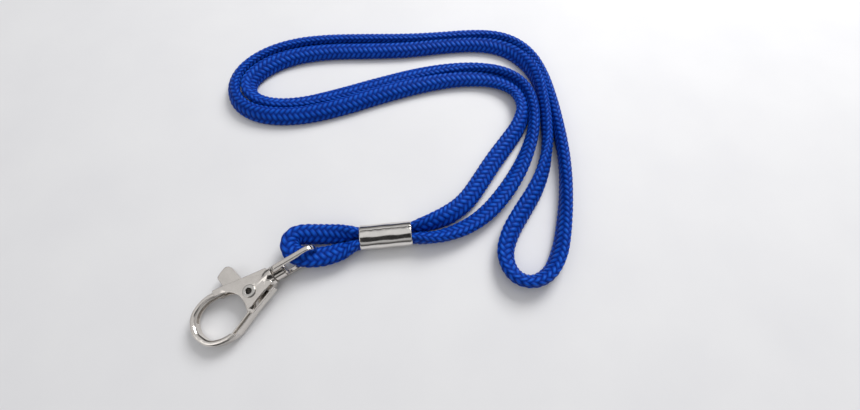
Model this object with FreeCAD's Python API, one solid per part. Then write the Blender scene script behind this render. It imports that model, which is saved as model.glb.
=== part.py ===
import FreeCAD, Part
import math
import os

# A neck lanyard: one braided cord, looped for the neck and again for the hook, held by a
# crimped metal ferrule, with a swivelling trigger hook hung in the small loop.
# Millimetres. The lanyard lies on z = 0; +X runs along the ferrule, +Y across the neck loop.

V = FreeCAD.Vector

# Cord
CORD_D = 4.6
CORD_REST = CORD_D / 2 + 0.02      # height of the cord's centre where it lies on the table

# Ferrule: an oval tube crimped over two strands
FERRULE_AT = V(22.4, 13.5, 3.1)
FERRULE_TURN = 5.8                 # degrees from +X
FERRULE_LENGTH = 15.4
FERRULE_WIDTH = 7.5
FERRULE_HEIGHT = 6.2
FERRULE_WALL = 0.5
FERRULE_RIM_EASE = 0.2
MOUTH_SPREAD = 1.6                 # each strand's centre from the ferrule's axis, at its mouth

# Hook: its own frame has +X from the nose to the swivel, +Y towards the thumb tab and its
# origin at the outer end of the collar
HOOK_AT = V(-8.4, 1.2, 3.95)
HOOK_TURN = 32.0
HOOK_RISE = 4.4
CHEEK_FACE = 2.1                   # half the body's thickness
CAVITY = 1.3                       # half the room between the cheeks
COLLAR_R = 2.6
COLLAR_START = -1.5
FLARE_START = -3.2                 # where the body starts to widen into the collar
FLARE_LENGTH = 1.7
RING_WIDTH = 1.55
RING_FACE = 1.65                   # half the thickness of the hook's ring
RING_EASE = 0.4                    # the easing of the ring's edges
CHANNEL_FACE = 0.55                # half the width of the channel inside the ring
CHANNEL_DEPTH = 0.45
CHANNEL_EDGES = 4                  # the runs and arcs of the ring that have the channel
SWIVEL_Y = 0.3
CUT_REACH = 3.0                    # cuts through the hook reach this far above and below it

# Trigger
RIVET_X = -7.3
RIVET_Y = -0.95
RIVET_R = 1.25
RIVET_HOLE_R = 0.9
RIVET_RIM_R = 1.85
LEVER_FACE = 1.2
GATE_FACE = 1.7
RUNNING_FIT = 0.08
SPRING_WIRE = 0.35
SPRING_R = 1.75
SPRING_PITCH = 0.4
SPRING_TURNS = 2.25
SPRING_STEPS = 8                   # points on each turn of the coil
SPRING_ROOM_R = 2.25
SPRING_ROOM_FACE = 0.7
FORK_LENGTH = 5.0                  # the slot that leads into the spring's room
FORK_HEIGHT = 6.0
FORK_BELOW = 2.4                   # how far the slot starts below the rivet
RIVET_RIM = 0.35                   # the rolled rim's height
RIVET_RIM_EASE = 0.245
TAB_FACE = 0.6                     # half the thumb tab's thickness
NOSE_CUT_R = 11.65                 # the nose's end, as an arc about the rivet
GATE_END_R = 11.5                  # the gate's end, as an arc about the rivet

# Swivel
PIN_R = 1.1
PIN_HEAD_R = 1.6
PIN_HEAD_GAP = 0.05                # between the barrel and the head
PIN_HEAD_HEIGHT = 0.65
PIN_DOME = 0.35                    # the easing of the head's rim
PIN_SPREAD_R = 1.7
PIN_SPREAD_LENGTH = 0.55
BARREL_R = 2.1
BARREL_START = 0.15
BARREL_END = 3.1
EYE_START = 0.5
EYE_END = 13.6
EYE_HALF_HEIGHT = 3.95
EYE_BAR = 1.15                     # the eye's bar, in the plane of the eye
EYE_WIDTH = 1.5                    # and across it
EYE_CORNER = 1.2                   # the outer corners beside the collar
EYE_FAR_CORNER = 2.7               # and those round the cord
EYE_INNER_CORNER = 0.4
EYE_EASE = 0.35                    # the easing of the bar's edges
EYE_LEAN = 6.0                     # the eye's lean about the swivel

# The neck loop's route, from one strand's ferrule mouth to the other's
NECK_ROUTE = [
    (35.7, 17.8), (41.5, 20.6), (46.7, 25.2), (50.9, 32.0), (55.3, 39.4), (60.0, 46.0),
    (64.3, 52.4), (66.1, 59.6), (64.5, 65.8), (59.4, 70.0), (51.6, 71.6), (41.1, 70.7),
    (30.1, 68.0), (17.1, 63.8), (4.1, 58.8), (-8.9, 55.6), (-21.4, 56.0), (-30.1, 60.4),
    (-34.1, 68.0), (-32.7, 76.4), (-25.9, 83.8), (-15.9, 88.2), (-4.4, 90.6), (10.1, 91.4),
    (26.1, 91.9), (39.1, 93.6), (51.1, 95.2), (61.1, 94.6), (69.7, 90.6), (75.9, 83.6),
    (79.5, 74.2), (80.7, 63.4), (80.4, 54.4), (80.0, 45.9), (79.6, 36.9), (78.5, 26.4),
    (76.4, 16.0), (74.1, 7.8), (70.3, 2.0), (64.3, -0.2), (59.2, 2.4), (57.6, 8.4),
    (59.7, 15.0), (63.8, 21.6), (68.7, 28.8), (72.7, 37.0), (74.8, 45.9), (75.6, 55.4),
    (75.3, 65.0), (73.5, 74.0), (69.3, 82.0), (62.7, 87.7), (53.7, 89.8), (42.1, 88.8),
    (28.1, 86.4), (13.1, 85.7), (-0.9, 85.0), (-13.1, 82.4), (-22.1, 77.8), (-27.5, 71.0),
    (-26.3, 64.8), (-20.1, 61.1), (-10.1, 61.0), (2.1, 64.6), (16.1, 69.6), (29.9, 74.0),
    (42.1, 76.6), (54.5, 77.2), (63.9, 74.4), (69.7, 68.2), (71.0, 60.0), (69.7, 51.4),
    (66.7, 43.4), (63.0, 35.4), (58.4, 27.8), (52.7, 20.8), (45.3, 15.6), (36.9, 12.8),
]

# The hook's small loop, from the far strand's ferrule mouth round to the near strand's
HOOK_LOOP_ROUTE = [
    (8.9, 14.1, 2.6), (3.2, 13.9, 2.9), (-3.3, 14.2, 3.7), (-6.0, 11.9, 4.2), (-6.2, 8.6, 4.5),
    (-3.6, 5.6, 4.7), (0.8, 4.6, 4.3), (5.0, 5.6, 3.6), (9.5, 7.9, 2.9),
]


def along_ferrule(along, across):
    """A point in the ferrule's own directions."""
    turn = math.radians(FERRULE_TURN)
    ahead = V(math.cos(turn), math.sin(turn), 0)
    aside = V(-math.sin(turn), math.cos(turn), 0)
    return FERRULE_AT + ahead * along + aside * across


def neck_points():
    """The neck loop's points, with its two ends at the ferrule's right mouth."""
    mouth = FERRULE_LENGTH / 2
    lying = [V(x, y, CORD_REST) for x, y in NECK_ROUTE]
    return [along_ferrule(mouth, MOUTH_SPREAD)] + lying + [along_ferrule(mouth, -MOUTH_SPREAD)]


def hook_loop_points():
    """The small loop's points, with its two ends at the ferrule's left mouth."""
    mouth = -FERRULE_LENGTH / 2
    lying = [V(*point) for point in HOOK_LOOP_ROUTE]
    return [along_ferrule(mouth, MOUTH_SPREAD)] + lying + [along_ferrule(mouth, -MOUTH_SPREAD)]


def corner_arc(before, corner, after):
    """The arc that rounds one corner of a route, as start, middle, end and radius."""
    back = before - corner
    ahead = after - corner
    shorter = min(back.Length, ahead.Length)
    back.normalize()
    ahead.normalize()
    half_turn = (math.pi - back.getAngle(ahead)) / 2
    radius = 0.45 * shorter / math.tan(half_turn)
    inward = back + ahead
    inward.normalize()
    middle = corner + inward * (radius / math.cos(half_turn) - radius)
    reach = 0.45 * shorter
    return corner + back * reach, middle, corner + ahead * reach, radius


def rounded_edges(points):
    """Straight runs joined by tangent arcs, as a list of edges, and the arcs' radii."""
    edges = []
    radii = []
    at = points[0]
    for before, corner, after in zip(points, points[1:], points[2:]):
        start, middle, end, radius = corner_arc(before, corner, after)
        edges.append(Part.LineSegment(at, start).toShape())
        edges.append(Part.Arc(start, middle, end).toShape())
        radii.append(radius)
        at = end
    edges.append(Part.LineSegment(at, points[-1]).toShape())
    return edges, radii


def swept_tube(edges, diameter):
    """A round tube along some edges that follow one another."""
    path = Part.Wire(edges)
    start = edges[0].firstVertex().Point
    ring = Part.Wire(Part.makeCircle(diameter / 2, start, edges[0].tangentAt(0)))
    return path.makePipeShell([ring], True, False)


def loop_tubes(points, name):
    """A loop's tube in two parts that meet at a straight run, because its two ends touch."""
    edges, radii = rounded_edges(points)
    middle = len(edges) // 4 * 2
    first_part = swept_tube(edges[:middle + 1], CORD_D)
    second_part = swept_tube(edges[middle + 1:], CORD_D)
    length = sum(edge.Length for edge in edges)
    expected = math.pi * CORD_D ** 2 / 4 * length
    ratio = (first_part.Volume + second_part.Volume) / expected
    print(name, "length", round(length, 1), "volume ratio", round(ratio, 4))
    print(name, "radii", [round(radius, 1) for radius in radii])
    return [first_part, second_part]


def oval_prism(width, height, length):
    """An oval bar about the ferrule's axis."""
    outline = Part.Ellipse(V(0, 0, 0), width / 2, height / 2).toShape()
    face = Part.Face(Part.Wire(outline))
    bar = face.extrude(V(0, 0, length))
    bar.translate(V(0, 0, -length / 2))
    # The oval's width lies along +Y, its height along +Z and its length along +X
    bar.rotate(V(0, 0, 0), V(1, 1, 1), 120)
    bar.rotate(V(0, 0, 0), V(0, 0, 1), FERRULE_TURN)
    bar.translate(FERRULE_AT)
    return bar


def make_cord():
    """Both loops and the stretch squashed inside the ferrule, as one solid."""
    tubes = loop_tubes(neck_points(), "neck loop") + loop_tubes(hook_loop_points(), "hook loop")
    walls = FERRULE_WALL * 2
    core = oval_prism(FERRULE_WIDTH - walls, FERRULE_HEIGHT - walls, FERRULE_LENGTH)
    return core.multiFuse(tubes).removeSplitter()


def make_ferrule():
    """An oval tube with its rims rounded."""
    outer = oval_prism(FERRULE_WIDTH, FERRULE_HEIGHT, FERRULE_LENGTH)
    rims = [edge for edge in outer.Edges if edge.isClosed()]
    outer = outer.makeFillet(FERRULE_RIM_EASE, rims)
    walls = FERRULE_WALL * 2
    return outer.cut(oval_prism(FERRULE_WIDTH - walls, FERRULE_HEIGHT - walls, FERRULE_LENGTH * 1.2))


def plate(outline, low, high):
    """A flat piece from a closed outline: pairs are corners, and a triple is an arc's middle."""
    edges = []
    corners = outline + [outline[0]]
    at = V(corners[0][0], corners[0][1], low)
    via = None
    for step in corners[1:]:
        point = V(step[0], step[1], low)
        if len(step) == 3:
            via = point
            continue
        if via is None:
            edges.append(Part.LineSegment(at, point).toShape())
        else:
            edges.append(Part.Arc(at, via, point).toShape())
        at = point
        via = None
    return Part.Face(Part.Wire(edges)).extrude(V(0, 0, high - low))


def upright(x, y, radius, low, high):
    """A round bar standing on the hook's plane."""
    return Part.makeCylinder(radius, high - low, V(x, y, low), V(0, 0, 1))


def lengthwise(radius, start, end):
    """A round bar along the swivel's axis."""
    return Part.makeCylinder(radius, end - start, V(start, SWIVEL_Y, 0), V(1, 0, 0))


def on_hook(shape):
    """Puts a piece made in the hook's own frame in its place."""
    hook = FreeCAD.Placement(HOOK_AT, FreeCAD.Rotation(HOOK_TURN, -HOOK_RISE, 0))
    placed = shape.copy()
    placed.Placement = hook.multiply(placed.Placement)
    return placed


# The hook's ring, along the middle of its bar, from the body round to the nose's end
RING_ROUTE = [
    (-14.7, 3.8), (-19.4, 4.1), (-23.8, 1.8), (-25.1, -3.0), (-22.6, -7.8), (-18.6, -9.2),
    (-14.6, -8.9),
]

# One cheek of the hook's body, where a triple is the middle of an arc
CHEEK = [
    (-0.9, 2.6), (-8.0, 3.6), (-14.0, 4.65), (-16.2, 4.8), (-16.2, 3.0), (-14.9, 2.85),
    (-11.5, 1.3, "arc"), (-9.7, -2.4), (-9.45, -5.0), (-8.9, -5.5), (-5.2, -3.7, "arc"),
    (-0.9, -2.2),
]

# The block that fills the body between the cheeks, next to the collar
BLOCK = [(-3.2, -3.1), (-0.9, -2.2), (-0.9, 2.6), (-3.2, 2.9)]


def bar_section(at, half_width, half_depth, ease):
    """The hook bar's section, an eased rectangle across a bar that starts along +X."""
    y, z = half_width, half_depth
    outline = [(-y + ease, -z), (y - ease, -z), (y, -z + ease), (y, z - ease),
               (y - ease, z), (-y + ease, z), (-y, z - ease), (-y, -z + ease)]
    points = [at + V(0, across, up) for across, up in outline]
    return Part.makePolygon(points + [points[0]])


def hook_ring():
    """The hook's bar, bent round the loop, with a channel inside its back, cut at the nose."""
    edges, radii = rounded_edges([V(x, y, 0) for x, y in RING_ROUTE])
    section = bar_section(V(*RING_ROUTE[0], 0), RING_WIDTH / 2, RING_FACE, RING_EASE)
    bar = Part.Wire(edges).makePipeShell([section], True, False)
    inner = -RING_WIDTH / 2
    mouth = V(*RING_ROUTE[0], 0)
    corners = [(inner - 1, -CHANNEL_FACE), (inner + CHANNEL_DEPTH, -CHANNEL_FACE),
               (inner + CHANNEL_DEPTH, CHANNEL_FACE), (inner - 1, CHANNEL_FACE)]
    outline = [mouth + V(0, across, up) for across, up in corners]
    channel_section = Part.makePolygon(outline + [outline[0]])
    channel = Part.Wire(edges[:CHANNEL_EDGES]).makePipeShell([channel_section], True, False)
    bar = bar.cut(channel)
    swept_by_gate = upright(RIVET_X, RIVET_Y, NOSE_CUT_R, -CUT_REACH, CUT_REACH)
    # A box round the nose's end, so that the gate's arc cuts the ring nowhere else
    nose_side = Part.makeBox(12, 8, 2 * CUT_REACH, V(-20, -13, -CUT_REACH))
    return bar.cut(swept_by_gate.common(nose_side))


def make_hook_body():
    """Two cheeks, the ring, and the collar that the swivel turns in."""
    cheeks = plate(CHEEK, CAVITY, CHEEK_FACE).fuse(plate(CHEEK, -CHEEK_FACE, -CAVITY))
    block = plate(BLOCK, -CHEEK_FACE, CHEEK_FACE)
    flare_foot = V(FLARE_START, SWIVEL_Y, 0)
    flare = Part.makeCone(CHEEK_FACE, COLLAR_R, FLARE_LENGTH, flare_foot, V(1, 0, 0))
    collar = lengthwise(COLLAR_R, COLLAR_START, 0)
    body = cheeks.multiFuse([block, flare, collar, hook_ring()])
    pin_bore = lengthwise(PIN_R, FLARE_START - 1, 1)
    rivet_bore = upright(RIVET_X, RIVET_Y, RIVET_R, -CUT_REACH, CUT_REACH)
    return body.cut(pin_bore).cut(rivet_bore).removeSplitter()


def make_swivel_pin():
    """The swivel's pin: a domed head in the eye, and an end spread inside the body."""
    head_start = BARREL_END + PIN_HEAD_GAP
    head_end = head_start + PIN_HEAD_HEIGHT
    spread = lengthwise(PIN_SPREAD_R, FLARE_START - PIN_SPREAD_LENGTH, FLARE_START)
    stem = lengthwise(PIN_R, FLARE_START, head_start)
    head = lengthwise(PIN_HEAD_R, head_start, head_end)
    rim = [edge for edge in head.Edges if edge.isClosed() and edge.CenterOfMass.x > head_end - 0.1]
    head = head.makeFillet(PIN_DOME, rim)
    return stem.multiFuse([spread, head]).removeSplitter()


def make_swivel_eye():
    """An upright eye with the barrel that turns on the swivel's pin."""
    outer = eye_slab(EYE_START, EYE_END, EYE_HALF_HEIGHT, EYE_CORNER, EYE_FAR_CORNER)
    inner = eye_slab(BARREL_END, EYE_END - EYE_BAR, EYE_HALF_HEIGHT - EYE_BAR,
                     EYE_INNER_CORNER, EYE_FAR_CORNER - EYE_BAR)
    eye = outer.cut(inner)
    long_edges = [edge for edge in eye.Edges if abs(edge.BoundBox.YLength) < 0.01]
    eye = eye.makeFillet(EYE_EASE, long_edges)
    start = V(BARREL_START, 0, 0)
    barrel = Part.makeCylinder(BARREL_R, BARREL_END - BARREL_START, start, V(1, 0, 0))
    bore = Part.makeCylinder(PIN_R + RUNNING_FIT, 6, V(-1, 0, 0), V(1, 0, 0))
    eye = eye.fuse(barrel).cut(bore).removeSplitter()
    eye.rotate(V(0, 0, 0), V(1, 0, 0), -EYE_LEAN)
    eye.translate(V(0, SWIVEL_Y, 0))
    return eye


def eye_slab(start, end, half_height, near_corner, far_corner):
    """A slab standing in the eye's plane, with its corners rounded."""
    foot = V(start, -EYE_WIDTH / 2, -half_height)
    slab = Part.makeBox(end - start, EYE_WIDTH, 2 * half_height, foot)
    for x, radius in ((start, near_corner), (end, far_corner)):
        corners = [edge for edge in slab.Edges
                   if abs(edge.CenterOfMass.x - x) < 0.001 and edge.BoundBox.ZLength < 0.001]
        slab = slab.makeFillet(radius, corners)
    return slab


# The trigger lever's outlines, in the hook's frame
LEVER_WEB = [(-13.3, 3.3), (-12.6, 2.6), (-10.3, -0.2), (-10.0, -3.0), (-10.3, -6.0), (-8.9, -6.5),
             (-6.6, -3.6), (-4.6, -1.6), (-5.2, 1.2), (-7.4, 3.4)]
THUMB_TAB = [(-13.3, 3.3), (-14.2, 7.6), (-13.6, 9.1, "arc"), (-12.2, 9.7), (-11.0, 9.8),
             (-9.9, 9.2, "arc"), (-9.4, 8.1), (-8.2, 3.3)]
GATE_BAR = [(-15.9, -8.7), (-15.3, -9.75), (-8.9, -6.75), (-9.7, -5.65)]
GATE_GROOVE = [(-16.2, -9.4), (-16.0, -9.75), (-9.3, -6.6), (-9.5, -6.2)]
GATE_GROOVE_DEPTH = 0.6
LEVER_WALL = [(-9.7, -7.1), (-1.2, -3.6), (-1.4, -3.1), (-9.5, -6.4)]


def make_trigger_lever():
    """The trigger: a forked web on the rivet, with the gate, the back wall and the thumb tab."""
    web = plate(LEVER_WEB, -LEVER_FACE, LEVER_FACE)
    wall = plate(LEVER_WALL, -LEVER_FACE, LEVER_FACE)
    tab = plate(THUMB_TAB, -TAB_FACE, TAB_FACE)
    gate = plate(GATE_BAR, -GATE_FACE, GATE_FACE)
    floor = GATE_FACE - GATE_GROOVE_DEPTH
    for low, high in ((floor, GATE_FACE + 1), (-GATE_FACE - 1, -floor)):
        gate = gate.cut(plate(GATE_GROOVE, low, high))
    lever = web.multiFuse([wall, tab, gate])
    lever = lever.common(upright(RIVET_X, RIVET_Y, GATE_END_R, -CUT_REACH, CUT_REACH))
    spring_room = upright(RIVET_X, RIVET_Y, SPRING_ROOM_R, -SPRING_ROOM_FACE, SPRING_ROOM_FACE)
    fork_foot = V(RIVET_X, RIVET_Y - FORK_BELOW, -SPRING_ROOM_FACE)
    fork = Part.makeBox(FORK_LENGTH, FORK_HEIGHT, 2 * SPRING_ROOM_FACE, fork_foot)
    bore = upright(RIVET_X, RIVET_Y, RIVET_R + RUNNING_FIT, -CUT_REACH, CUT_REACH)
    return lever.cut(spring_room.fuse(fork)).cut(bore).removeSplitter()


def make_trigger_rivet():
    """A hollow rivet through both cheeks, with its ends rolled over."""
    rivet = upright(RIVET_X, RIVET_Y, RIVET_R, -CHEEK_FACE, CHEEK_FACE)
    for low in (-CHEEK_FACE - RIVET_RIM, CHEEK_FACE):
        rim = upright(RIVET_X, RIVET_Y, RIVET_RIM_R, low, low + RIVET_RIM)
        outer_z = low if low < 0 else low + RIVET_RIM
        face_edge = [edge for edge in rim.Edges
                     if edge.isClosed() and abs(edge.CenterOfMass.z - outer_z) < 0.01]
        rivet = rivet.fuse(rim.makeFillet(RIVET_RIM_EASE, face_edge))
    hole = upright(RIVET_X, RIVET_Y, RIVET_HOLE_R, -CUT_REACH, CUT_REACH)
    return rivet.cut(hole).removeSplitter()


def make_trigger_spring():
    """The wound coil of the torsion spring, round the rivet in the middle of the lever."""
    points = []
    for step in range(int(SPRING_TURNS * SPRING_STEPS) + 1):
        turns = step / SPRING_STEPS
        angle = 2 * math.pi * turns
        rise = SPRING_PITCH * (turns - SPRING_TURNS / 2)
        x = RIVET_X + SPRING_R * math.cos(angle)
        y = RIVET_Y + SPRING_R * math.sin(angle)
        points.append(V(x, y, rise))
    edges, radii = rounded_edges(points)
    print("spring radii", round(min(radii), 2), round(max(radii), 2))
    return swept_tube(edges, SPRING_WIRE)


def main():
    """Writes one STEP file for each piece."""
    os.makedirs("parts", exist_ok=True)
    pieces = {
        "cord": make_cord(),
        "crimp_ferrule": make_ferrule(),
        "hook_body": on_hook(make_hook_body()),
        "swivel_pin": on_hook(make_swivel_pin()),
        "swivel_eye": on_hook(make_swivel_eye()),
        "trigger_lever": on_hook(make_trigger_lever()),
        "trigger_rivet": on_hook(make_trigger_rivet()),
        "trigger_spring": on_hook(make_trigger_spring()),
    }
    for name, shape in pieces.items():
        box = shape.optimalBoundingBox(False, False)
        sides = [round(side, 2) for side in (box.XLength, box.YLength, box.ZLength)]
        print(name, "solids", len(shape.Solids), "valid", shape.isValid())
        print(name, "volume", round(shape.Volume, 2), "sides", sides)
        shape.exportStep("parts/" + name + ".step")


main()
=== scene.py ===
import math

import bpy
import numpy as np
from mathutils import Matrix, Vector


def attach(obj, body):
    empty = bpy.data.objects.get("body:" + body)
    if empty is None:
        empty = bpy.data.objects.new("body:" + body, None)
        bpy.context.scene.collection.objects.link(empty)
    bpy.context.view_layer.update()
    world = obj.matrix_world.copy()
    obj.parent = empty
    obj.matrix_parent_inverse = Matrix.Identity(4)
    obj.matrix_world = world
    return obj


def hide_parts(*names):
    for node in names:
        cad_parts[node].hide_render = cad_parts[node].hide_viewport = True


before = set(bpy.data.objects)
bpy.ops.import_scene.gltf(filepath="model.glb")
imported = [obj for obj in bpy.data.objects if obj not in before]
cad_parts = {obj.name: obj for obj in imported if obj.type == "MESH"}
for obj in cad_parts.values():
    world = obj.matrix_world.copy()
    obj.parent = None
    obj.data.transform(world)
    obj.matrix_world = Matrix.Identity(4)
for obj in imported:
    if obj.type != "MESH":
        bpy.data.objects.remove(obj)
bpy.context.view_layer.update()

# A neck lanyard: a braided cord, a crimped ferrule and a swivelling trigger hook.
# Everything is in metres, in the CAD model's frame.

# ---------------------------------------------------------------- camera

CAMERA_AT = (0.0354, -0.0278, 0.118)
CAMERA_PITCH = 24.0                # degrees from straight down, looking towards +Y
CAMERA_LENS = 17.2                 # millimetres, on a sensor 36 mm wide


def make_camera():
    """The camera at the photograph's angle."""
    data = bpy.data.cameras.new("camera")
    data.lens = CAMERA_LENS
    data.sensor_width = 36.0
    data.clip_start = 0.005
    camera = bpy.data.objects.new("camera", data)
    camera.location = CAMERA_AT
    camera.rotation_euler = (math.radians(CAMERA_PITCH), 0, 0)
    bpy.context.scene.collection.objects.link(camera)
    bpy.context.scene.camera = camera


make_camera()

# ---------------------------------------------------------------- cord

CORD_WIDE = 0.0060                 # its oval section, across
CORD_THICK = 0.0036                # and through
CRIMPED_WIDE = 0.0050              # the same section, squashed in the ferrule
CRIMPED_THICK = 0.00304
CRIMP_EASE = 0.0028                # how far outside the ferrule the cord is still squashed
FLOOR_GAP = 0.0001
FERRULE_AT = Vector((0.0224, 0.0135, 0.0031))
FERRULE_TURN = math.radians(5.8)
FERRULE_LENGTH = 0.0154
STRAND_OFFSET = 0.0016             # each strand's centre from the ferrule's axis
STRAND_REACH = 0.006               # nothing farther from the ferrule's axis is one of its strands
EDGE = 90                          # the oval's roll where it stands on its edge; 0 is wide side up
SPLINE_STEPS = 24                  # points read from the spline for each of its control points

# The neck loop from the far strand's ferrule mouth to the near one's: x, y and roll
NECK_ROUTE = [
    (0.0357, 0.0178, 60), (0.0415, 0.0206, 30), (0.0468, 0.0251, 15), (0.0513, 0.0319, 10),
    (0.0558, 0.0392, 10), (0.0606, 0.0458, 25), (0.0652, 0.0523, 40), (0.0678, 0.0598, 45),
    (0.0664, 0.0672, 30), (0.0606, 0.0720, 10), (0.0520, 0.0737, -5), (0.0411, 0.0728, -10),
    (0.0301, 0.0700, -20), (0.0171, 0.0655, -30), (0.0041, 0.0603, -30), (-0.0089, 0.0568, -30),
    (-0.0214, 0.0568, -35), (-0.0301, 0.0608, -45), (-0.0341, 0.0682, -50), (-0.0327, 0.0768, -50),
    (-0.0259, 0.0845, -45), (-0.0159, 0.0893, -45), (-0.0044, 0.0913, -45), (0.0101, 0.0917, -45),
    (0.0261, 0.0917, -45), (0.0391, 0.0926, -45), (0.0511, 0.0939, -45), (0.0606, 0.0931, -55),
    (0.0680, 0.0887, -70), (0.0729, 0.0818, -85), (0.0757, 0.0732, -90), (0.0773, 0.0632, -90),
    (0.0781, 0.0544, -90), (0.0786, 0.0459, -90), (0.0786, 0.0369, -90), (0.0775, 0.0264, -100),
    (0.0755, 0.0160, -115), (0.0732, 0.0078, -125), (0.0696, 0.0017, -120), (0.0640, -0.0009, -115),
    (0.0588, 0.0017, -130), (0.0571, 0.0080, -145), (0.0594, 0.0148, -150), (0.0636, 0.0215, -150),
    (0.0685, 0.0288, -140), (0.0721, 0.0370, -120), (0.0741, 0.0459, -95), (0.0747, 0.0554, -90),
    (0.0747, 0.0650, -90), (0.0733, 0.0742, -70), (0.0695, 0.0822, -45), (0.0631, 0.0878, -25),
    (0.0539, 0.0900, -15), (0.0421, 0.0893, -15), (0.0281, 0.0870, -15), (0.0131, 0.0863, -15),
    (-0.0009, 0.0862, -15), (-0.0131, 0.0842, -20), (-0.0228, 0.0794, -35), (-0.0288, 0.0722, -50),
    (-0.0278, 0.0658, -55), (-0.0206, 0.0619, -45), (-0.0101, 0.0620, -35), (0.0021, 0.0656, -25),
    (0.0161, 0.0706, -20), (0.0299, 0.0752, -25), (0.0421, 0.0777, -35), (0.0545, 0.0780, -50),
    (0.0638, 0.0750, -65), (0.0693, 0.0684, -85), (0.0710, 0.0600, -90), (0.0701, 0.0514, -100),
    (0.0675, 0.0434, -125), (0.0637, 0.0354, -145), (0.0586, 0.0276, -155), (0.0526, 0.0206, -155),
    (0.0453, 0.0156, -145), (0.0369, 0.0128, -120),
]

# The small loop from the near strand's ferrule mouth round to the far one's: x, y, z and roll
HOOK_LOOP_ROUTE = [
    (0.0096, 0.0086, 0.0027, -160), (0.0050, 0.0070, 0.0033, -175), (0.0006, 0.0063, 0.0040, -175),
    (-0.0032, 0.0071, 0.0045, -165), (-0.0051, 0.0094, 0.0045, -145), (-0.0050, 0.0122, 0.0041, -140),
    (-0.0028, 0.0138, 0.0035, -150), (0.0030, 0.0139, 0.0029, -155), (0.0089, 0.0141, 0.0027, -135),
]


def in_ferrule(along, across):
    """A point in the ferrule's own directions."""
    ahead = Vector((math.cos(FERRULE_TURN), math.sin(FERRULE_TURN), 0))
    aside = Vector((-math.sin(FERRULE_TURN), math.cos(FERRULE_TURN), 0))
    return FERRULE_AT + ahead * along + aside * across


def lying(x, y, roll):
    """A point at the height where the oval cord, rolled so far, rests on the floor."""
    roll_rad = math.radians(roll)
    height = math.hypot(CORD_WIDE / 2 * math.sin(roll_rad), CORD_THICK / 2 * math.cos(roll_rad))
    return Vector((x, y, height + FLOOR_GAP))


def cord_route():
    """The whole cord's points and rolls, from the ferrule's middle round both loops and back."""
    mouth = FERRULE_LENGTH / 2
    points = [in_ferrule(0, STRAND_OFFSET), in_ferrule(mouth, STRAND_OFFSET)]
    rolls = [EDGE, EDGE]
    for x, y, roll in NECK_ROUTE:
        points.append(lying(x, y, roll))
        rolls.append(roll)
    points += [in_ferrule(mouth, -STRAND_OFFSET), in_ferrule(-mouth, -STRAND_OFFSET)]
    rolls += [-EDGE, -EDGE]
    for x, y, z, roll in HOOK_LOOP_ROUTE:
        points.append(Vector((x, y, z)))
        rolls.append(roll)
    points += [in_ferrule(-mouth, STRAND_OFFSET), in_ferrule(0, STRAND_OFFSET)]
    rolls += [-EDGE, -EDGE]
    return points, rolls


def spline_points(points):
    """Points read from the NURBS spline that has the route's points as its control points."""
    curve = bpy.data.curves.new("cord_route", "CURVE")
    curve.dimensions = "3D"
    curve.resolution_u = SPLINE_STEPS
    spline = curve.splines.new("NURBS")
    spline.points.add(len(points) - 1)
    for control, point in zip(spline.points, points):
        control.co = (*point, 1)
    spline.order_u = 3
    spline.use_endpoint_u = True
    carrier = bpy.data.objects.new("cord_route", curve)
    mesh = bpy.data.meshes.new_from_object(carrier)
    read = np.array([vertex.co[:] for vertex in mesh.vertices])
    bpy.data.objects.remove(carrier)
    bpy.data.meshes.remove(mesh)
    return read


def evenly(points, step):
    """The same line with its points about a step apart."""
    steps = np.linalg.norm(np.diff(points, axis=0), axis=1)
    lengths = np.concatenate([[0], np.cumsum(steps)])
    count = int(lengths[-1] / step) + 1
    wanted = np.linspace(0, lengths[-1], count)
    return np.column_stack([np.interp(wanted, lengths, points[:, axis]) for axis in range(3)])


# The braid: eight columns of stitches round the cord, leaning one way and the other in turn
COLUMNS = 8
STITCH = 0.0018                    # from one stitch to the next in a column
RINGS_PER_STITCH = 6
SIDES = 40
STITCH_RISE = 0.00034
STITCH_MIDDLE = 0.72               # the stitch height, from 0 to 1, that lies on the plain oval
CRIMPED_FLATTER = 0.6              # how much of the stitches' rise the ferrule presses out
BRAID_LAYER = "braid"              # the mesh's coordinates in stitches along and columns round


def stitch_height(along, around):
    """How far the braid stands proud, from 0 to 1, at cells along and round the cord."""
    right = around + along
    left = around - along
    right_cell = np.floor(right)
    left_cell = np.floor(left)
    place = np.mod(right_cell + left_cell, 4)
    over = place < 1.5
    across = np.where(over, right - right_cell, left - left_cell)
    run = np.where(over, (place + left - left_cell) / 2, (place - 2 + right - right_cell) / 2)
    return np.sin(math.pi * across) ** 0.6 * np.sin(math.pi * (0.06 + 0.88 * run)) ** 0.7


def roll_along(path, points, rolls):
    """The section's roll at each point of the path."""
    # Each route point is looked for a little way ahead, because the path passes near itself
    look_ahead = 260
    at = []
    start = 0
    for point in points:
        window = path[start:start + look_ahead]
        nearest = start + int(np.argmin(np.linalg.norm(window - np.array(point), axis=1)))
        at.append(nearest)
        start = nearest
    return np.interp(np.arange(len(path)), at, rolls)


def squeeze_along(path):
    """How much the ferrule squashes the cord at each point of the path, from 0 to 1."""
    ahead = np.array([math.cos(FERRULE_TURN), math.sin(FERRULE_TURN), 0])
    aside = np.array([-math.sin(FERRULE_TURN), math.cos(FERRULE_TURN), 0])
    offset = path - np.array(FERRULE_AT)
    outside = np.maximum(np.abs(offset @ ahead) - FERRULE_LENGTH / 2, 0)
    near = np.clip(1 - outside / CRIMP_EASE, 0, 1)
    near[np.abs(offset @ aside) > STRAND_REACH] = 0
    return near * near * (3 - 2 * near)


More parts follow.
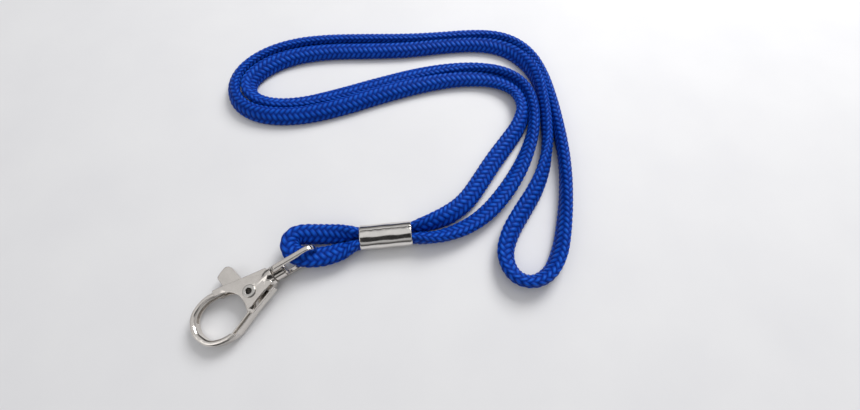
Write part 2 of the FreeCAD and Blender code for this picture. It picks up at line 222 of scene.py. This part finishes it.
def section_directions(path, rolls):
    """The directions of the oval's wide and thin sides at each point of the path."""
    tangent = np.gradient(path, axis=0)
    tangent /= np.linalg.norm(tangent, axis=1)[:, None]
    level = np.cross(np.array([0.0, 0.0, 1.0]), tangent)
    level /= np.linalg.norm(level, axis=1)[:, None]
    upward = np.cross(tangent, level)
    roll = np.radians(rolls)[:, None]
    wide = level * np.cos(roll) + upward * np.sin(roll)
    thin = upward * np.cos(roll) - level * np.sin(roll)
    return wide, thin


def braided_surface(path, wide, thin):
    """The tube's points, one ring after another, with the stitches raised on them."""
    squeeze = squeeze_along(path)[:, None, None]
    half_wide = CORD_WIDE / 2 * (1 - squeeze) + CRIMPED_WIDE / 2 * squeeze
    half_thick = CORD_THICK / 2 * (1 - squeeze) + CRIMPED_THICK / 2 * squeeze
    around = np.arange(SIDES) / SIDES
    angle = 2 * math.pi * around[None, :, None]
    along = np.arange(len(path))[:, None] / RINGS_PER_STITCH
    height = stitch_height(along, around[None, :] * COLUMNS) - STITCH_MIDDLE
    raised = (height * STITCH_RISE)[:, :, None] * (1 - CRIMPED_FLATTER * squeeze)
    sections = (wide[:, None, :] * np.cos(angle) * (half_wide + raised)
                + thin[:, None, :] * np.sin(angle) * (half_thick + raised))
    return (path[:, None, :] + sections).reshape(-1, 3)


def tube_faces(count):
    """The four corners of each face of an open tube with so many rings."""
    ring = np.arange(count - 1)[:, None] * SIDES
    side = np.arange(SIDES)[None, :]
    after = (side + 1) % SIDES
    faces = np.stack([ring + side, ring + after, ring + SIDES + after, ring + SIDES + side], axis=2)
    return faces.reshape(-1, 4)


def braid_coordinates(count):
    """The braid's coordinates at each face's corners: stitches along and columns round."""
    u_start = np.repeat(np.arange(count - 1) / RINGS_PER_STITCH, SIDES)
    v_start = np.tile(np.arange(SIDES) / SIDES * COLUMNS, count - 1)
    u_end = u_start + 1 / RINGS_PER_STITCH
    v_end = v_start + COLUMNS / SIDES
    corners = ((u_start, v_start), (u_start, v_end), (u_end, v_end), (u_end, v_start))
    return np.stack([np.column_stack(corner) for corner in corners], axis=1)


def make_cord():
    """The braided cord as one tube, and the line that it follows."""
    points, rolls = cord_route()
    path = evenly(spline_points(points), STITCH / RINGS_PER_STITCH)
    wide, thin = section_directions(path, roll_along(path, points, rolls))
    vertices = braided_surface(path, wide, thin)
    faces = tube_faces(len(path))

    mesh = bpy.data.meshes.new("cord_braid")
    mesh.vertices.add(len(vertices))
    mesh.vertices.foreach_set("co", vertices.ravel())
    mesh.loops.add(faces.size)
    mesh.loops.foreach_set("vertex_index", faces.ravel())
    mesh.polygons.add(len(faces))
    mesh.polygons.foreach_set("loop_start", np.arange(len(faces)) * 4)
    mesh.update(calc_edges=True)
    mesh.polygons.foreach_set("use_smooth", np.ones(len(faces), bool))
    layer = mesh.uv_layers.new(name=BRAID_LAYER)
    layer.data.foreach_set("uv", braid_coordinates(len(path)).ravel())

    piece = bpy.data.objects.new("cord_braid", mesh)
    bpy.context.scene.collection.objects.link(piece)
    return piece, path


# ---------------------------------------------------------------- ferrule

FERRULE_WIDTH = 0.0075
FERRULE_HEIGHT = 0.0062
FERRULE_WALL = 0.0005
SEAM_ANGLE = math.radians(76)      # where the tube's edges meet, from +Y towards +Z
SEAM_WIDTH = math.radians(2.6)
SEAM_DEPTH = 0.00042
RIM_ROUNDING = 0.00022
RIM_STEP = 0.00003                 # from the rim's edge to the start of the inside wall
LINING = 0.003                     # how far the inside wall is modelled
DENT = 0.00003
FERRULE_SIDES = 192
FERRULE_STATIONS = 60


def ferrule_profile():
    """The tube's wall from inside one mouth to inside the other: place along, and inset."""
    half = FERRULE_LENGTH / 2
    profile = [(-half + LINING, -FERRULE_WALL), (-half + RIM_STEP, -FERRULE_WALL)]
    for index in range(FERRULE_STATIONS + 1):
        along = -half + FERRULE_LENGTH * index / FERRULE_STATIONS
        to_rim = half - abs(along)
        turned = max(0.0, 1 - to_rim / RIM_ROUNDING)
        profile.append((along, -RIM_ROUNDING * (1 - math.sqrt(max(0.0, 1 - turned ** 2)))))
    profile += [(half - RIM_STEP, -FERRULE_WALL), (half - LINING - RIM_STEP, -FERRULE_WALL)]
    return profile


def ferrule_reach(along, angle, inset):
    """How far the skin stands from the plain oval: its inset, the seam and a faint dent."""
    wave = 0.02 * math.sin(along * 2600) + 0.012 * math.sin(along * 5900 + 1)
    off_seam = abs(angle - SEAM_ANGLE - wave) / SEAM_WIDTH
    groove = SEAM_DEPTH * math.exp(-off_seam * off_seam) if inset > -FERRULE_WALL else 0.0
    dent = DENT * math.sin(along * 900 + 3 * angle) * math.sin(2 * angle + 1)
    return inset - groove + dent


def make_ferrule():
    """A crimped oval tube: rolled rims, a faintly dented skin and the seam where its edges meet."""
    rows = []
    for along, inset in ferrule_profile():
        row = []
        for side in range(FERRULE_SIDES):
            angle = 2 * math.pi * side / FERRULE_SIDES
            reach = ferrule_reach(along, angle, inset)
            across = (FERRULE_WIDTH / 2 + reach) * math.cos(angle)
            height = (FERRULE_HEIGHT / 2 + reach) * math.sin(angle)
            row.append(in_ferrule(along, across) + Vector((0, 0, height)))
        rows.append(row)
    return lofted("ferrule_tube", rows)


def lofted(name, rows):
    """A smooth mesh through rings of points."""
    sides = len(rows[0])
    faces = []
    for row in range(len(rows) - 1):
        for side in range(sides):
            after = (side + 1) % sides
            faces.append((row * sides + side, row * sides + after,
                          (row + 1) * sides + after, (row + 1) * sides + side))
    mesh = bpy.data.meshes.new(name)
    mesh.from_pydata([tuple(point) for row in rows for point in row], [], faces)
    mesh.polygons.foreach_set("use_smooth", [True] * len(faces))
    piece = bpy.data.objects.new(name, mesh)
    bpy.context.scene.collection.objects.link(piece)
    return piece


# ---------------------------------------------------------------- materials

def new_material(name):
    """An empty node material and its shader."""
    material = bpy.data.materials.new(name)
    material.use_nodes = True
    return material, material.node_tree, material.node_tree.nodes["Principled BSDF"]


def math_node(tree, operation, first, second=None):
    """A Math node whose inputs are sockets or numbers; returns its output."""
    node = tree.nodes.new("ShaderNodeMath")
    node.operation = operation
    for socket, value in zip(node.inputs, (first, second)):
        if isinstance(value, bpy.types.NodeSocket):
            tree.links.new(value, socket)
        elif value is not None:
            socket.default_value = value
    return node.outputs[0]


def scaled(tree, value, factor, added):
    """A socket's value times a number, plus a number or another socket; returns the output."""
    node = tree.nodes.new("ShaderNodeMath")
    node.operation = "MULTIPLY_ADD"
    tree.links.new(value, node.inputs[0])
    node.inputs[1].default_value = factor
    if isinstance(added, bpy.types.NodeSocket):
        tree.links.new(added, node.inputs[2])
    else:
        node.inputs[2].default_value = added
    return node.outputs[0]


def hump(tree, value, power):
    """A rounded hump from 0 up to 1 and back as the value goes from 0 to 1."""
    angle = math_node(tree, "MULTIPLY", value, math.pi)
    return math_node(tree, "POWER", math_node(tree, "SINE", angle), power)


def mixed(tree, factor, first, second):
    """A number between two sockets, by a factor socket."""
    node = tree.nodes.new("ShaderNodeMix")
    tree.links.new(factor, node.inputs[0])
    tree.links.new(first, node.inputs[2])
    tree.links.new(second, node.inputs[3])
    return node.outputs[0]


def colour_ramp(tree, factor, stops):
    """A ColorRamp with the given stops: place and colour."""
    node = tree.nodes.new("ShaderNodeValToRGB")
    tree.links.new(factor, node.inputs[0])
    elements = node.color_ramp.elements
    while len(elements) < len(stops):
        elements.new(0.5)
    for element, (place, colour) in zip(elements, stops):
        element.position = place
        element.color = (*colour, 1)
    return node.outputs[0]


def noise(tree, scale, detail=2.0, vector=None):
    """A Noise texture's value, on the object's coordinates unless a vector is given."""
    node = tree.nodes.new("ShaderNodeTexNoise")
    node.inputs["Scale"].default_value = scale
    node.inputs["Detail"].default_value = detail
    if vector is None:
        coordinates = tree.nodes.new("ShaderNodeTexCoord")
        vector = coordinates.outputs["Object"]
    tree.links.new(vector, node.inputs["Vector"])
    return node.outputs[0]


def braid_cells(tree):
    """Where a point lies in the braid: its stitch, and its place across and along the stitch."""
    coordinates = tree.nodes.new("ShaderNodeUVMap")
    coordinates.uv_map = BRAID_LAYER
    split = tree.nodes.new("ShaderNodeSeparateXYZ")
    tree.links.new(coordinates.outputs[0], split.inputs[0])
    along, around = split.outputs[0], split.outputs[1]
    right = math_node(tree, "ADD", around, along)
    left = math_node(tree, "SUBTRACT", around, along)
    right_cell = math_node(tree, "FLOOR", right)
    left_cell = math_node(tree, "FLOOR", left)
    right_part = math_node(tree, "SUBTRACT", right, right_cell)
    left_part = math_node(tree, "SUBTRACT", left, left_cell)
    cells = math_node(tree, "ADD", right_cell, left_cell)
    place = math_node(tree, "FLOORED_MODULO", cells, 4.0)
    over = math_node(tree, "LESS_THAN", place, 1.5)

    across = mixed(tree, over, left_part, right_part)
    under_run = math_node(tree, "ADD", math_node(tree, "SUBTRACT", place, 2.0), right_part)
    over_run = math_node(tree, "ADD", place, left_part)
    run = math_node(tree, "MULTIPLY", mixed(tree, over, under_run, over_run), 0.5)
    # Each strand has a number of its own, and the two directions' numbers are kept apart
    cell = mixed(tree, over, left_cell, right_cell)
    strand = math_node(tree, "ADD", cell, math_node(tree, "MULTIPLY", over, 37.0))
    return across, run, strand


def filament_noise(tree, across, run, strand):
    """Filaments along each stitch: fine across it and long with it."""
    joined = tree.nodes.new("ShaderNodeCombineXYZ")
    for socket, value, factor in zip(joined.inputs, (across, run, strand), (11.0, 1.3, 5.3)):
        tree.links.new(math_node(tree, "MULTIPLY", value, factor), socket)
    return noise(tree, 1.0, 2.0, joined.outputs[0])


def add_bump(tree, height, strength, distance):
    """A Bump node on a height; returns the node."""
    bump = tree.nodes.new("ShaderNodeBump")
    bump.inputs["Strength"].default_value = strength
    bump.inputs["Distance"].default_value = distance
    tree.links.new(height, bump.inputs["Height"])
    return bump


def braid_material():
    """Glossy blue polyester yarn with each stitch's filaments; its colour has painted shade in the
    gaps between stitches and a painted highlight on the stitch crowns.
    """
    material, tree, shader = new_material("cord_polyester")
    across, run, strand = braid_cells(tree)
    crown = hump(tree, across, 0.45)
    dip = hump(tree, scaled(tree, run, 0.88, 0.06), 0.6)
    height = math_node(tree, "MULTIPLY", crown, dip)
    filaments = filament_noise(tree, across, run, strand)
    blotches = noise(tree, 260.0, 3.0)

    # Painted shade and highlight: the stitch height makes the colour darker in the gaps and lighter
    # on the crowns, with the filaments' own streaks added.
    filaments_and_painted_shading = scaled(tree, filaments, 0.6, height)
    tone_and_painted_shading = scaled(tree, blotches, 0.35, math_node(tree, "SUBTRACT", filaments_and_painted_shading, 0.5))
    # The dark end is painted shade in the gaps and the bright end is a painted highlight on the
    # stitch crowns; the blotches are the yarn's own uneven tone.
    colour = colour_ramp(tree, tone_and_painted_shading, [
        (0.0, (0.0001, 0.009, 0.095)),
        (0.35, (0.0002, 0.017, 0.19)),
        (0.70, (0.0006, 0.036, 0.32)),
        (1.0, (0.006, 0.085, 0.50)),
    ])
    tree.links.new(colour, shader.inputs["Base Color"])
    tree.links.new(scaled(tree, height, -0.42, 0.86), shader.inputs["Roughness"])
    shader.inputs["Specular IOR Level"].default_value = 0.28
    shader.inputs["Specular Tint"].default_value = (0.25, 0.5, 1.0, 1)
    shader.inputs["Sheen Weight"].default_value = 0.04
    shader.inputs["Sheen Roughness"].default_value = 0.4
    shader.inputs["Sheen Tint"].default_value = (0.1, 0.4, 1.0, 1)
    bump = add_bump(tree, scaled(tree, filaments, 0.28, height), 0.6, 0.00022)
    tree.links.new(bump.outputs[0], shader.inputs["Normal"])
    return material


def nickel_material(name, colour, roughness, streak):
    """Bright nickel plate with faint ripples, streaks and a slightly duller bloom."""
    material, tree, shader = new_material(name)
    bloom = noise(tree, 420.0, 3.0)
    streaks = noise(tree, streak, 2.0)
    tint = colour_ramp(tree, bloom, [
        (0.25, tuple(part * 0.90 for part in colour)),
        (0.75, colour),
    ])
    tree.links.new(tint, shader.inputs["Base Color"])
    tree.links.new(scaled(tree, bloom, 0.10, roughness), shader.inputs["Roughness"])
    shader.inputs["Metallic"].default_value = 1.0
    bevel = tree.nodes.new("ShaderNodeBevel")
    bevel.samples = 6
    bevel.inputs["Radius"].default_value = 0.00022
    bump = add_bump(tree, streaks, 0.10, 0.0001)
    tree.links.new(bevel.outputs[0], bump.inputs["Normal"])
    tree.links.new(bump.outputs[0], shader.inputs["Normal"])
    return material


def floor_material():
    """A plain pale matt surface."""
    material, tree, shader = new_material("floor")
    mottle = noise(tree, 35.0, 4.0)
    colour = colour_ramp(tree, mottle, [(0.3, (0.69, 0.69, 0.70)), (0.7, (0.72, 0.72, 0.725))])
    tree.links.new(colour, shader.inputs["Base Color"])
    shader.inputs["Roughness"].default_value = 0.6
    shader.inputs["Specular IOR Level"].default_value = 0.2
    return material


def paint(piece, material):
    """Gives a piece one material, in every slot that it has."""
    if not piece.data.materials:
        piece.data.materials.append(material)
    for index in range(len(piece.material_slots)):
        piece.material_slots[index].material = material


# ---------------------------------------------------------------- pieces

def soften(node, width):
    """Rounds the edges of a CAD casting, as tumbling and plating leave them."""
    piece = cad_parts[node]
    weld = piece.modifiers.new("weld", "WELD")
    weld.merge_threshold = 0.000002
    bevel = piece.modifiers.new("bevel", "BEVEL")
    bevel.width = width
    bevel.segments = 3
    bevel.limit_method = "ANGLE"
    bevel.angle_limit = math.radians(32)
    bevel.harden_normals = False
    piece.modifiers.new("normals", "WEIGHTED_NORMAL")


cord_piece, cord_path = make_cord()
paint(cord_piece, braid_material())
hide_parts("cord")
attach(cord_piece, "cord_loop")

soften("hook_body", 0.00022)
soften("trigger_lever", 0.00018)
soften("swivel_eye", 0.00012)

casting = nickel_material("nickel_casting", (0.745, 0.705, 0.66), 0.08, 900.0)
plated = nickel_material("nickel_ferrule", (0.80, 0.775, 0.74), 0.11, 700.0)
riveted = nickel_material("nickel_rivet", (0.62, 0.60, 0.57), 0.14, 1500.0)
for node in ("hook_body", "trigger_lever", "swivel_eye", "swivel_pin"):
    paint(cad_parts[node], casting)
for node in ("trigger_rivet", "trigger_spring"):
    paint(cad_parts[node], riveted)

ferrule = make_ferrule()
paint(ferrule, plated)
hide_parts("crimp_ferrule")
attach(ferrule, "cord_loop")


# ---------------------------------------------------------------- floor and light

def make_floor():
    """A wide flat floor under the lanyard."""
    mesh = bpy.data.meshes.new("floor")
    half = 2.0
    corners = [(-half, -half, 0), (half, -half, 0), (half, half, 0), (-half, half, 0)]
    mesh.from_pydata(corners, [], [(0, 1, 2, 3)])
    floor = bpy.data.objects.new("floor", mesh)
    bpy.context.scene.collection.objects.link(floor)
    paint(floor, floor_material())


def area_light(name, at, aim, size, watts, colour):
    """A square soft light aimed at a point."""
    data = bpy.data.lights.new(name, "AREA")
    data.size = size
    data.energy = watts
    data.color = colour
    light = bpy.data.objects.new(name, data)
    light.location = at
    light.rotation_euler = (Vector(aim) - Vector(at)).to_track_quat("-Z", "Y").to_euler()
    bpy.context.scene.collection.objects.link(light)


def make_world():
    """Soft surroundings, darker near the horizon for the metal to mirror, with a pale backdrop."""
    world = bpy.data.worlds.new("surroundings")
    world.use_nodes = True
    tree = world.node_tree
    background = tree.nodes["Background"]
    coordinates = tree.nodes.new("ShaderNodeTexCoord")
    split = tree.nodes.new("ShaderNodeSeparateXYZ")
    tree.links.new(coordinates.outputs["Generated"], split.inputs[0])
    sky = colour_ramp(tree, split.outputs[2], [
        (0.0, (0.045, 0.043, 0.042)),
        (0.25, (0.10, 0.098, 0.098)),
        (0.48, (0.62, 0.62, 0.63)),
        (1.0, (0.97, 0.97, 0.98)),
    ])
    tree.links.new(sky, background.inputs[0])
    background.inputs["Strength"].default_value = 0.80
    backdrop = tree.nodes.new("ShaderNodeBackground")
    backdrop.inputs[0].default_value = (0.80, 0.80, 0.81, 1)
    rays = tree.nodes.new("ShaderNodeLightPath")
    seen = tree.nodes.new("ShaderNodeMixShader")
    tree.links.new(rays.outputs["Is Camera Ray"], seen.inputs[0])
    tree.links.new(background.outputs[0], seen.inputs[1])
    tree.links.new(backdrop.outputs[0], seen.inputs[2])
    tree.links.new(seen.outputs[0], tree.nodes["World Output"].inputs[0])
    bpy.context.scene.world = world


def make_dark_card():
    """The dark shape above the lanyard that shows as a band in the bright metal."""
    mesh = bpy.data.meshes.new("dark_card")
    left, right = -0.10, 0.16
    near, far = -0.150, -0.012
    corners = [(left, near, 0.15), (right, near, 0.15), (right, far, 0.16), (left, far, 0.16)]
    mesh.from_pydata(corners, [], [(0, 3, 2, 1)])
    card = bpy.data.objects.new("dark_card", mesh)
    bpy.context.scene.collection.objects.link(card)
    material, _, shader = new_material("dark_card")
    shader.inputs["Base Color"].default_value = (0.01, 0.01, 0.01, 1)
    shader.inputs["Roughness"].default_value = 1.0
    paint(card, material)
    card.visible_camera = False
    card.visible_shadow = False
    card.visible_diffuse = False


make_floor()
make_world()
make_dark_card()
area_light("window", (0.26, 0.42, 0.40), (0.07, 0.12, 0), 0.30, 3.2, (0.99, 0.99, 1.0))
area_light("fill", (-0.6, -0.3, 0.7), (0.03, 0.04, 0), 0.5, 0.6, (1.0, 0.99, 0.98))
bpy.context.scene.view_settings.view_transform = "Standard"
